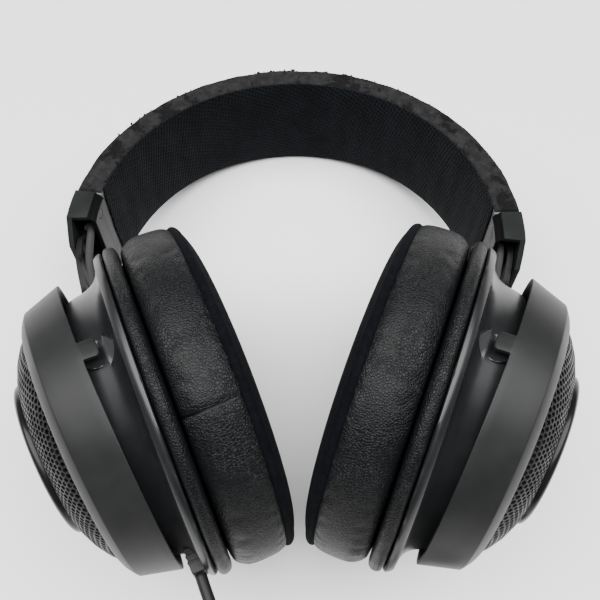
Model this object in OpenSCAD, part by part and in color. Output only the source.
// Over-ear headphones lying on a table, seen as they rest: X is left to right, Y runs from the
// ear cups to the crown of the headband, and Z is up from the table. Dimensions are in millimetres.
// The set is drawn flat, in its own arc plane, and then leaned to the pose in which it lies.

/* [Yoke ring] */
// Outside radius of the ring at its wide edge
ring_r = 48; // [47.5:0.1:48.5]
// Outside radius of the ring at its narrow corner
ring_corner_r = 44; // [43.5:0.1:44.5]
// Distance from the wide edge to the corner
ring_depth = 11.8; // [11.5:0.1:12]
// Half distance between the ring centres
ring_x = 56.1; // [55.8:0.1:56.4]
// Angle between a ring's axis and the X axis
ring_tip = 27.2; // [27:0.1:27.4]

/* [Ear cup] */
// Radius of the rim of the cup housing
rim_r = 53.2; // [53:0.1:53.4]
// Angle between a cup's axis and the X axis at rest
cup_tip = 22.8; // [22.6:0.1:23]
// Radius of the cushion at its front seam
cushion_r = 54; // [53.5:0.1:54.2]
// Radius of the hollow for the ear
ear_r = 30; // [28:0.5:31]
// Radius of the loudspeaker's frame
driver_r = 25; // [24:0.5:25.5]

/* [Headband] */
// Distance of the arc's centre from the line through the ring centres
arc_y = 70.7; // [70.4:0.1:71]
// Outside radius of the headband
band_r = 80.2; // [80:0.1:80.6]
// Width of the headband
band_w = 40; // [39.6:0.2:40.4]
// Turn of the headband caused by the uneven length of the two arms
band_turn = 4.8; // [4.6:0.1:5]
// Half of the angle that an end cap covers
cap_half = 4.7; // [4.6:0.1:4.8]

/* [Lead] */
// Diameter of the lead
lead_d = 3.4; // [3.2:0.1:3.5]
// Diameter of the coil, through the middle of its two layers of turns
coil_d = 38; // [37:0.5:39]

/* [Pose] */
// Lean of the arc plane from level
lean = 14.9; // [14.7:0.1:15.1]
// Height of the arc plane's origin over the table
lift = 57.85; // [57.5:0.05:58.2]
// Move along Y that centres the set on the origin
shift_y = -53; // [-54:0.1:-52]

/* [Hidden] */
$fn = 96;

left = -1;
right = 1;
ring_y = 1.6;
wall = 1.6;
half_w = band_w / 2;
// Distance along a ring's axis to the pivots, and the size of the pivots
pivot_a = -3;
pin_r = 1.3;
pad_r = 4.4;
// The arm is a strip on the headband's own arc, so that it slides along the band
arm_in = 75.4;
arm_out = 77.4;
arm_half_w = 13;
tongue_half_w = 9.2;
tongue_top = 23.5;
neck_bottom = -20.3;
cable_r = 1.35;
cable_z = 11.5;
cable_arc_r = 73.75;

// Places ------------------------------------------------------------------------------

// From the arc plane to the pose on the table
module at_rest() {
  translate([0, shift_y, lift]) rotate([-lean, 0, 0]) children();
}

// A left piece is the mirror image of a right one
module for_side(side) {
  if (side == left) mirror([1, 0, 0]) children();
  else children();
}

// An ear cup's own frame: +Z runs out along the cup's axis, +Y up towards the arm
module cup_frame(side, tip) {
  at_rest() for_side(side)
    translate([ring_x, ring_y, 0]) rotate([0, 0, -tip]) rotate([0, 90, 0]) children();
}

// The two pivots lie on the X axis of this frame, which is written in the cup's own frame
module pivot_frame() {
  rotate([ring_tip - cup_tip, 0, 0]) translate([0, 0, pivot_a]) children();
}

// The arc's frame, from which an arm's angles are counted, 0 being level with the centre
module arc_frame(side) {
  at_rest() for_side(side) translate([0, arc_y, 0]) children();
}

// The headband's frame, turned so that its two ends are at 0 and 180 degrees
module band_frame_at(side) {
  at_rest() translate([0, arc_y, 0]) rotate([0, 0, -band_turn]) for_side(side) children();
}

// An arc of a section that is drawn with X as the radius and Y as the height
module arc(from, to) {
  rotate([0, 0, from]) rotate_extrude(angle = to - from) children();
}

// A rectangle in the section of an arc
module bar(r_in, r_out, half) {
  translate([r_in, -half]) square([r_out - r_in, 2 * half]);
}

// Section of the channel that the link cable takes through the band and its caps
module cable_bore() {
  translate([cable_arc_r, cable_z]) circle(r = cable_r + 0.2, $fn = 24);
}

// Screws share one form: a shallow head over a shank that points along -Z
module screw(head_r, shank_r, length) {
  cylinder(h = 1, r = head_r);
  translate([0, 0, -length]) cylinder(h = length, r = shank_r);
}

// Headband ----------------------------------------------------------------------------

band_from = cap_half + 0.2;
band_to = 180 - cap_half - 0.2;
slot_to = 29.5;

// Leather skin over the crown and both edges of the band
module band_cover() {
  color([0.17, 0.18, 0.18]) band_frame_at(right) arc(band_from, band_to) polygon([
    [70.3, -half_w], [band_r - 1.2, -half_w], [band_r, -half_w + 1.2],
    [band_r, half_w - 1.2], [band_r - 1.2, half_w], [70.3, half_w],
    [70.3, half_w - 1.2], [79.1, half_w - 1.2], [79.1, 1.2 - half_w], [70.3, 1.2 - half_w]
  ]);
}

// Carrier with a curved slot at each end for the arm's tongue and a groove for the link cable
module band_frame() {
  color([0.12, 0.12, 0.13]) difference() {
    band_frame_at(right) arc(band_from, band_to) bar(73.4, 78.1, half_w - 1.5);
    for (side = [left, right])
      band_frame_at(side) arc(band_from - 1, slot_to) bar(arm_in - 0.35, arm_out + 0.35, 9.6);
    band_frame_at(right) arc(band_from - 1, band_to + 1) cable_bore();
  }
}

// Steel strip that gives the band its clamping force
module band_spring() {
  color([0.6, 0.6, 0.62]) band_frame_at(right) arc(7, 173) bar(78.2, 78.9, 9);
}

module band_foam() {
  color([0.25, 0.25, 0.26]) difference() {
    band_frame_at(right) arc(band_from, band_to) bar(70.6, 73.3, 18.6);
    band_frame_at(right) arc(band_from - 1, band_to + 1) cable_bore();
  }
}

// Mesh fabric on the side that touches the head
module band_fabric() {
  color([0.07, 0.08, 0.11]) band_frame_at(right) arc(band_from, band_to) bar(69.4, 70.2, 19.6);
}

// End caps ----------------------------------------------------------------------------

// Open box that closes an end of the band and lets the arm out below
module cap_shell(side) {
  color([0.2, 0.21, 0.21]) band_frame_at(side) {
    arc(-cap_half, cap_half) bar(78, band_r - 0.4, half_w);
    intersection() {
      arc(-11, 0.2 - cap_half) bar(78, band_r - 0.4, half_w);
      rotate([90, 0, 90]) linear_extrude(height = 100) polygon([
        [0, -half_w], [-6.3, -half_w], [-13.8, -arm_half_w],
        [-13.8, arm_half_w], [-6.3, half_w], [0, half_w]
      ]);
    }
    for (edge = [-1, 1]) {
      arc(-cap_half, cap_half) translate([71.8, edge > 0 ? half_w - wall : -half_w])
        square([6.4, wall]);
    }
    difference() {
      arc(cap_half - 1.2, cap_half) bar(71.8, 78.2, half_w - 1);
      arc(cap_half - 2, cap_half + 1) bar(arm_in - 0.35, arm_out + 0.35, 9.6);
      arc(cap_half - 2, cap_half + 1) cable_bore();
    }
    difference() {
      cap_screw_places() translate([0, 0, -7.2]) cylinder(h = 6.2, r = 2, $fn = 32);
      cap_screw_places() translate([0, 0, -7]) cylinder(h = 7, r = 1.05, $fn = 24);
    }
  }
}

// Plate that closes the cap on the side of the head
module cap_liner(side) {
  color([0.3, 0.31, 0.31]) band_frame_at(side) difference() {
    arc(-cap_half, cap_half) bar(70, 71.6, half_w);
    cap_screw_places() translate([0, 0, -5]) cylinder(h = 10, r = 1.05, $fn = 24);
    cap_screw_places() cylinder(h = 5, r = 2, $fn = 24);
  }
}

module cap_screw_places() {
  for (z = [-15.5, 15.5]) translate([71, 0, z]) rotate([0, -90, 0]) children();
}

module cap_screws(side) {
  color([0.35, 0.35, 0.36]) band_frame_at(side) cap_screw_places()
    screw(1.8, 1, 5, $fn = 24);
}

// Arm and yoke ------------------------------------------------------------------------

// Metal strip: a tongue inside the band, a wider blade below the cap, and a neck that turns
// under the ring
module arm(side) {
  color([0.16, 0.17, 0.17]) difference() {
    union() {
      intersection() {
        arc_frame(side) arc(neck_bottom, tongue_top) bar(arm_in, arm_out, arm_half_w + 1);
        arc_frame(side) rotate([90, 0, 90]) linear_extrude(height = 100) polygon([
          [-30, -9], [-22, -9], [-13.3, -arm_half_w], [-2.4, -arm_half_w], [-2.4, -tongue_half_w],
          [40, -tongue_half_w], [40, tongue_half_w], [-2.4, tongue_half_w], [-2.4, arm_half_w],
          [-13.3, arm_half_w], [-22, 9], [-30, 9]
        ]);
      }
      cup_frame(side, ring_tip) intersection() {
        rotate_extrude() polygon([
          [44.2, -7], [46, -7], [46, 0], [44.6, 4], [43.2, 4], [44.2, 0]
        ]);
        translate([-8.7, 30, -10]) cube([17.4, 30, 20]);
      }
    }
    arm_screw_places(side) translate([0, 0, -1]) cylinder(h = 4.5, r = 1.05, $fn = 24);
  }
}

// The screws that hold the neck to the ring go in from the cup's side
module arm_screw_places(side) {
  cup_frame(side, ring_tip) for (turn = [-6, 6])
    rotate([0, 0, turn]) translate([0, 43.2, 1.8]) rotate([-90, 0, 0]) children();
}

module arm_screws(side) {
  color([0.45, 0.45, 0.46]) arm_screw_places(side) mirror([0, 0, 1]) screw(1.7, 1, 3.1, $fn = 24);
}

// Tapered ring round the cup, with two tabs that carry the pivots
module yoke_ring(side) {
  color([0.24, 0.25, 0.25]) cup_frame(side, ring_tip) difference() {
    union() {
      rotate_extrude() polygon([
        [ring_r, 0], [ring_corner_r, ring_depth], [39.4, ring_depth + 2.6],
        [38.9, ring_depth + 1.4], [ring_corner_r - 1.9, ring_depth - 0.6], [ring_r - 1.6, 0]
      ]);
      for (end = [-1, 1]) intersection() {
        translate([end * 46, 0, 0]) cube([5, 5.4, 20], center = true);
        translate([end * 50, 0, -1.2]) rotate([0, 90, 0]) cylinder(h = 20, r = 3.5, center = true);
        rotate_extrude() polygon([[44.8, -6], [47.2, -6], [47.6, 1.6], [45.3, 1.6]]);
      }
    }
    translate([0, 0, pivot_a]) rotate([0, 90, 0])
      cylinder(h = 120, r = pin_r, center = true, $fn = 32);
    ring_screw_holes();
  }
}

module ring_screw_holes() {
  for (turn = [-6, 6]) rotate([0, 0, turn]) translate([0, 44, 1.8]) rotate([-90, 0, 0])
    cylinder(h = 3, r = 1.05, $fn = 24);
}

// Pins pressed into the ring's tabs
module pivot_pins(side) {
  color([0.6, 0.6, 0.62]) cup_frame(side, ring_tip) for (end = [0, 180])
    rotate([0, 0, end]) translate([39.5, 0, pivot_a]) rotate([0, 90, 0])
      cylinder(h = 7.3, r = pin_r, $fn = 32);
}

// Domed metal grille; its holes are too many for this model
module grille(side) {
  color([0.1, 0.1, 0.11]) cup_frame(side, ring_tip) rotate_extrude() polygon([
    [38.8, 13.6], [35.5, 16.6], [31.5, 19.2], [27, 21.2], [22, 22.4],
    [22, 21.6], [26.7, 20.4], [31.1, 18.5], [35, 16], [38.2, 13]
  ]);
}

module centre_disc(side) {
  color([0.13, 0.13, 0.14]) cup_frame(side, ring_tip) rotate_extrude() polygon([
    [0, 22.9], [24.2, 22.5], [24.6, 22.9], [24.4, 23.6], [23.4, 24.1], [0, 24.4]
  ]);
}

// Braided cable between the cup and the band, which stays slack as the arm slides
// Each point is an angle on the arm's arc, a distance from its centre and a height.
cable_low = [
  [-10, 73.05, 11.5], [-15, 72.5, 11.5], [-19, 72.4, 11.3], [-22.5, 72.8, 11], [-26, 72.2, 10.6]
];
cable_high = [[-0.4, cable_arc_r, cable_z], [-5, 73.4, 11.5]];
cable_long = [[9.2, cable_arc_r, cable_z], [4.5, 73.5, 11.5], [0, 73.3, 11.5], [-5, 73.1, 11.5]];
module link_cable(side) {
  bends = concat(side == left ? cable_long : cable_high, cable_low);
  color([0.1, 0.1, 0.1]) arc_frame(side)
    tube(smooth([for (b = bends) [b[1] * cos(b[0]), b[1] * sin(b[0]), b[2]]], 3), cable_r, 8);
}

// Ear cup -----------------------------------------------------------------------------

// Waisted shell with a wide rim, closed behind, that swings between the ring's tabs
module housing(side) {
  color([0.1, 0.1, 0.11]) cup_frame(side, cup_tip) difference() {
    union() {
      rotate_extrude() polygon([
        [rim_r, -12.5], [rim_r, -11.2], [50.5, -10.9], [47.5, -10.2], [45.3, -8.6],
        [43.6, -6], [42.9, -3], [42.2, 0], [40.6, 2.6], [37.6, 4.4], [0, 4.4],
        [0, 2.8], [37, 2.8], [39.4, 1.2], [40.6, -1], [41.2, -3.4], [41.9, -6.4],
        [43.8, -9.4], [46.4, -11.3], [49, -12.5]
      ]);
      pivot_frame() for (end = [0, 180]) rotate([0, 0, end])
        translate([38.4, 0, 0]) rotate([0, 90, 0]) cylinder(h = 5.2, r = pad_r);
      baffle_screw_places() translate([0, 0, -12.3]) cylinder(h = 16, r = 2.6, $fn = 32);
    }
    pivot_frame() rotate([0, 90, 0]) cylinder(h = 120, r = pin_r + 0.05, center = true, $fn = 32);
    baffle_screw_places() translate([0, 0, -13]) cylinder(h = 10, r = 1.1, $fn = 24);
    if (side == left) relief_place() {
      translate([0, 0, -10]) cylinder(h = 12, r = 2.1);
      translate([-4.1, -2.1, 1.2]) cube([8.2, 4.2, 12]);
    }
    // Window for the link cable
    translate([-14.5, 36, -10.6]) cube([6, 9, 10.6]);
  }
}

module baffle_screw_places() {
  for (turn = [90, 210, 330]) rotate([0, 0, turn]) translate([37.5, 0, 0]) children();
}

// Plate that carries the loudspeaker and the cushion
module baffle(side) {
  color([0.12, 0.12, 0.13]) cup_frame(side, cup_tip) difference() {
    rotate_extrude() polygon([[driver_r - 1, -14.2], [51, -14.2], [51, -12.7], [driver_r - 1, -12.7]]);
    baffle_screw_places() translate([0, 0, -15]) cylinder(h = 4, r = 1.3, $fn = 24);
    for (turn = [0 : 30 : 330]) rotate([0, 0, turn + 15]) translate([31, 0, -15])
      cylinder(h = 4, r = 1.5, $fn = 24);
  }
}

module baffle_screws(side) {
  color([0.45, 0.45, 0.46]) cup_frame(side, cup_tip) baffle_screw_places()
    translate([0, 0, -14.3]) mirror([0, 0, 1]) screw(2.2, 1, 8, $fn = 24);
}

module driver_frame(side) {
  color([0.2, 0.2, 0.21]) cup_frame(side, cup_tip) rotate_extrude() polygon([
    [driver_r + 1.5, -12.6], [driver_r + 1.5, -11], [driver_r - 0.6, -11], [23.4, -8],
    [14, -6.2], [14, -3], [12.8, -3], [12.8, -7.4], [22, -9.2], [23, -12.6]
  ]);
}

module driver_pot(side) {
  color([0.62, 0.62, 0.6]) cup_frame(side, cup_tip) rotate_extrude() polygon([
    [0, -2.4], [12.6, -2.4], [12.6, -8], [11.4, -8], [11.4, -3.6], [0, -3.6]
  ]);
}

module driver_magnet(side) {
  color([0.5, 0.5, 0.52]) cup_frame(side, cup_tip) translate([0, 0, -7.6]) cylinder(h = 3.9, r = 9.6);
}

module voice_coil(side) {
  color([0.7, 0.4, 0.2]) cup_frame(side, cup_tip) rotate_extrude()
    translate([10.2, -9.3]) square([0.6, 4.6]);
}

// Thin film: a dome in the middle and a roll round it
module diaphragm(side) {
  color([0.75, 0.72, 0.65]) cup_frame(side, cup_tip) rotate_extrude() polygon([
    [0, -11.7], [5, -11.5], [9, -10.6], [10.8, -9.7], [14, -11], [18, -11.6], [22.2, -10.8],
    [22.2, -10.5], [18, -11.3], [14, -10.7], [10.9, -9.4], [9, -10.3], [5, -11.2], [0, -11.4]
  ]);
}

// Pierced plate over the diaphragm
module driver_guard(side) {
  color([0.3, 0.3, 0.31]) cup_frame(side, cup_tip) difference() {
    translate([0, 0, -13.9]) cylinder(h = 0.8, r = driver_r - 1.2);
    for (row = [1 : 3]) for (k = [0 : 6 * row - 1])
      rotate([0, 0, k * 60 / row]) translate([row * 6, 0, -15]) cylinder(h = 3, r = 1.6, $fn = 24);
  }
}

module ear_screen(side) {
  color([0.15, 0.15, 0.16]) cup_frame(side, cup_tip)
    translate([0, 0, -16.8]) cylinder(h = 0.8, r = 39.6);
}

// Leather skirt of the cushion, stretched over the edge of the baffle
module cushion_lip(side) {
  color([0.11, 0.11, 0.12]) cup_frame(side, cup_tip) rotate_extrude() polygon([
    [40, -14.5], [51.3, -14.5], [51.3, -13.1], [53, -13], [53.8, -13.8], [53.9, -15.4],
    [53.1, -16.6], [51.4, -16.9], [40, -16.9]
  ]);
}

module cushion_side(side) {
  color([0.15, 0.15, 0.16]) cup_frame(side, cup_tip) rotate_extrude() polygon([
    [51, -17.1], [52.6, -18], [54, -21], [54.7, -26], [54.6, -31], [cushion_r, -34.4],
    [52.6, -34.4], [53.2, -30], [53.2, -26], [52.4, -21.4], [50, -18.6], [44, -18.1], [44, -17.1]
  ]);
}

module cushion_foam(side) {
  color([0.3, 0.3, 0.32]) cup_frame(side, cup_tip) rotate_extrude() polygon([
    [ear_r + 1.4, -18.3], [49.6, -18.8], [51.9, -21.6], [52.8, -26], [52.7, -30], [52.1, -34.2],
    [49.5, -36.2], [44, -37.5], [37, -37], [ear_r + 2.6, -34.6], [ear_r + 1.4, -32]
  ]);
}

// Fabric over the face of the cushion and down its inner wall
module cushion_front(side) {
  color([0.05, 0.06, 0.09]) cup_frame(side, cup_tip) rotate_extrude() polygon([
    [cushion_r, -34.6], [50.3, -37.4], [44, -38.9], [36.4, -38.3], [ear_r + 1.2, -35.2],
    [ear_r, -32], [ear_r, -17.5], [ear_r + 1.2, -17.5], [ear_r + 1.2, -32],
    [ear_r + 2.3, -34.8], [36.9, -37.2], [44, -37.7], [49.7, -36.4], [52.3, -34.6]
  ]);
}

// Lead --------------------------------------------------------------------------------

// The sleeve stands in the waist of the left cup and points away from the arm
module relief_place() {
  translate([1, -43, -8.2]) rotate([90, 0, 0]) children();
}

module strain_relief() {
  color([0.1, 0.1, 0.11]) cup_frame(left, cup_tip) relief_place() {
    translate([-4, -2, 1.4]) cube([8, 4, 8.2]);
    translate([0, 0, -4]) cylinder(h = 5.6, r = 2);
  }
}

// The route leaves the sleeve in line with it, drops to the table and runs to the coil
lead_route = [
  [-28.2, -95.4, 68.1], [-25.8, -101, 69.5], [-23, -107.5, 70.2], [-19.8, -115, 69],
  [-16.5, -122.5, 64.5], [-13.4, -129.5, 56.5], [-10.5, -135.5, 46], [-7.5, -141, 34.5],
  [-4.5, -146.5, 23], [-1, -152, 13.3], [3, -157.5, 6.5], [7.5, -163, 2.9], [12.5, -168.5, 1.8],
  [18, -173, 1.7]
];
coil_centre = [35, -152.5];
tail_route = [
  [35, -179.1, 5.1], [39.5, -179.1, 5.1], [43.5, -179.3, 5], [47.5, -179.6, 4.7], [51, -180, 4.4]
];

module lead() {
  color([0.08, 0.08, 0.08]) tube(smooth(lead_route, 3), lead_d / 2, 8);
}

// The wound length, as one solid of its outer shape: two layers of four and a half turns
module lead_coil() {
  layer_w = 5.5 * lead_d;
  color([0.08, 0.08, 0.08]) translate([coil_centre[0], coil_centre[1], 0]) rotate_extrude()
    translate([(coil_d - layer_w) / 2, 0]) square([layer_w, 2 * lead_d]);
}

module lead_tail() {
  color([0.08, 0.08, 0.08]) tube(smooth(tail_route, 2), lead_d / 2, 8);
}

// The plug lies on the table beside the coil and points along +X
module plug_frame() {
  translate([51, -180, 4.4]) rotate([0, 90, 0]) children();
}

module plug_body() {
  color([0.1, 0.1, 0.1]) plug_frame() {
    cylinder(h = 7, r = 2.6);
    translate([0, 0, 7]) cylinder(h = 14, r = 4.3);
  }
}

module plug_pin() {
  color([0.8, 0.75, 0.55]) plug_frame() translate([0, 0, 21]) {
    cylinder(h = 1, r = 2.6);
    cylinder(h = 12, r = 1.75);
    translate([0, 0, 12]) cylinder(h = 2.4, r1 = 1.6, r2 = 0.7);
  }
}

// Tubes -------------------------------------------------------------------------------

// Points on a smooth curve through the given ones, with a number of steps between each pair
function smooth(points, steps) = let (last = len(points) - 1) [
  for (i = [0 : last - 1]) for (k = [0 : steps - 1])
    spline(points[max(i - 1, 0)], points[i], points[i + 1], points[min(i + 2, last)], k / steps),
  points[last]
];

function spline(a, b, c, d, t) =
  0.5 * (2 * b + (c - a) * t + (2 * a - 5 * b + 4 * c - d) * t * t
    + (3 * b - a - 3 * c + d) * t * t * t);

function unit(v) = v / norm(v);

// Direction of the path at one of its points
function heading(path, i) = unit(path[min(i + 1, len(path) - 1)] - path[max(i - 1, 0)]);

// A vector square to the heading that turns as little as possible from ring to ring
function side_of(path, i) = i == 0
  ? unit(cross(heading(path, 0), [0.1, 0.2, 1]))
  : let (before = side_of(path, i - 1), h = heading(path, i)) unit(before - h * (before * h));

// A round tube along a path, closed at both ends
module tube(path, r, sides) {
  rings = [for (i = [0 : len(path) - 1])
    let (s = side_of(path, i), t = cross(heading(path, i), s))
      for (k = [0 : sides - 1])
        path[i] + r * (cos(360 * k / sides) * s + sin(360 * k / sides) * t)];
  last = (len(path) - 1) * sides;
  walls = [for (i = [0 : len(path) - 2]) for (k = [0 : sides - 1])
    let (a = i * sides + k, b = i * sides + (k + 1) % sides) [a, a + sides, b + sides, b]];
  start = [for (k = [0 : sides - 1]) k];
  end = [for (k = [sides - 1 : -1 : 0]) last + k];
  polyhedron(points = rings, faces = concat(walls, [start, end]), convexity = 6);
}

// Parts -------------------------------------------------------------------------------

band_cover();
band_frame();
band_spring();
band_foam();
band_fabric();
cap_shell(left);  // cap_shell_left
cap_liner(left);  // cap_liner_left
cap_screws(left);  // cap_screws_left
cap_shell(right);  // cap_shell_right
cap_liner(right);  // cap_liner_right
cap_screws(right);  // cap_screws_right
arm(left);  // arm_left
arm_screws(left);  // arm_screws_left
yoke_ring(left);  // yoke_ring_left
grille(left);  // grille_left
centre_disc(left);  // centre_disc_left
pivot_pins(left);  // pivot_pins_left
link_cable(left);  // link_cable_left
arm(right);  // arm_right
arm_screws(right);  // arm_screws_right
yoke_ring(right);  // yoke_ring_right
grille(right);  // grille_right
centre_disc(right);  // centre_disc_right
pivot_pins(right);  // pivot_pins_right
link_cable(right);  // link_cable_right
housing(left);  // housing_left
baffle(left);  // baffle_left
baffle_screws(left);  // baffle_screws_left
driver_frame(left);  // driver_frame_left
driver_pot(left);  // driver_pot_left
driver_magnet(left);  // driver_magnet_left
voice_coil(left);  // voice_coil_left
diaphragm(left);  // diaphragm_left
driver_guard(left);  // driver_guard_left
ear_screen(left);  // ear_screen_left
cushion_lip(left);  // cushion_lip_left
cushion_side(left);  // cushion_side_left
cushion_foam(left);  // cushion_foam_left
cushion_front(left);  // cushion_front_left
housing(right);  // housing_right
baffle(right);  // baffle_right
baffle_screws(right);  // baffle_screws_right
driver_frame(right);  // driver_frame_right
driver_pot(right);  // driver_pot_right
driver_magnet(right);  // driver_magnet_right
voice_coil(right);  // voice_coil_right
diaphragm(right);  // diaphragm_right
driver_guard(right);  // driver_guard_right
ear_screen(right);  // ear_screen_right
cushion_lip(right);  // cushion_lip_right
cushion_side(right);  // cushion_side_right
cushion_foam(right);  // cushion_foam_right
cushion_front(right);  // cushion_front_right
strain_relief();
lead();
lead_coil();
lead_tail();
plug_body();
plug_pin();
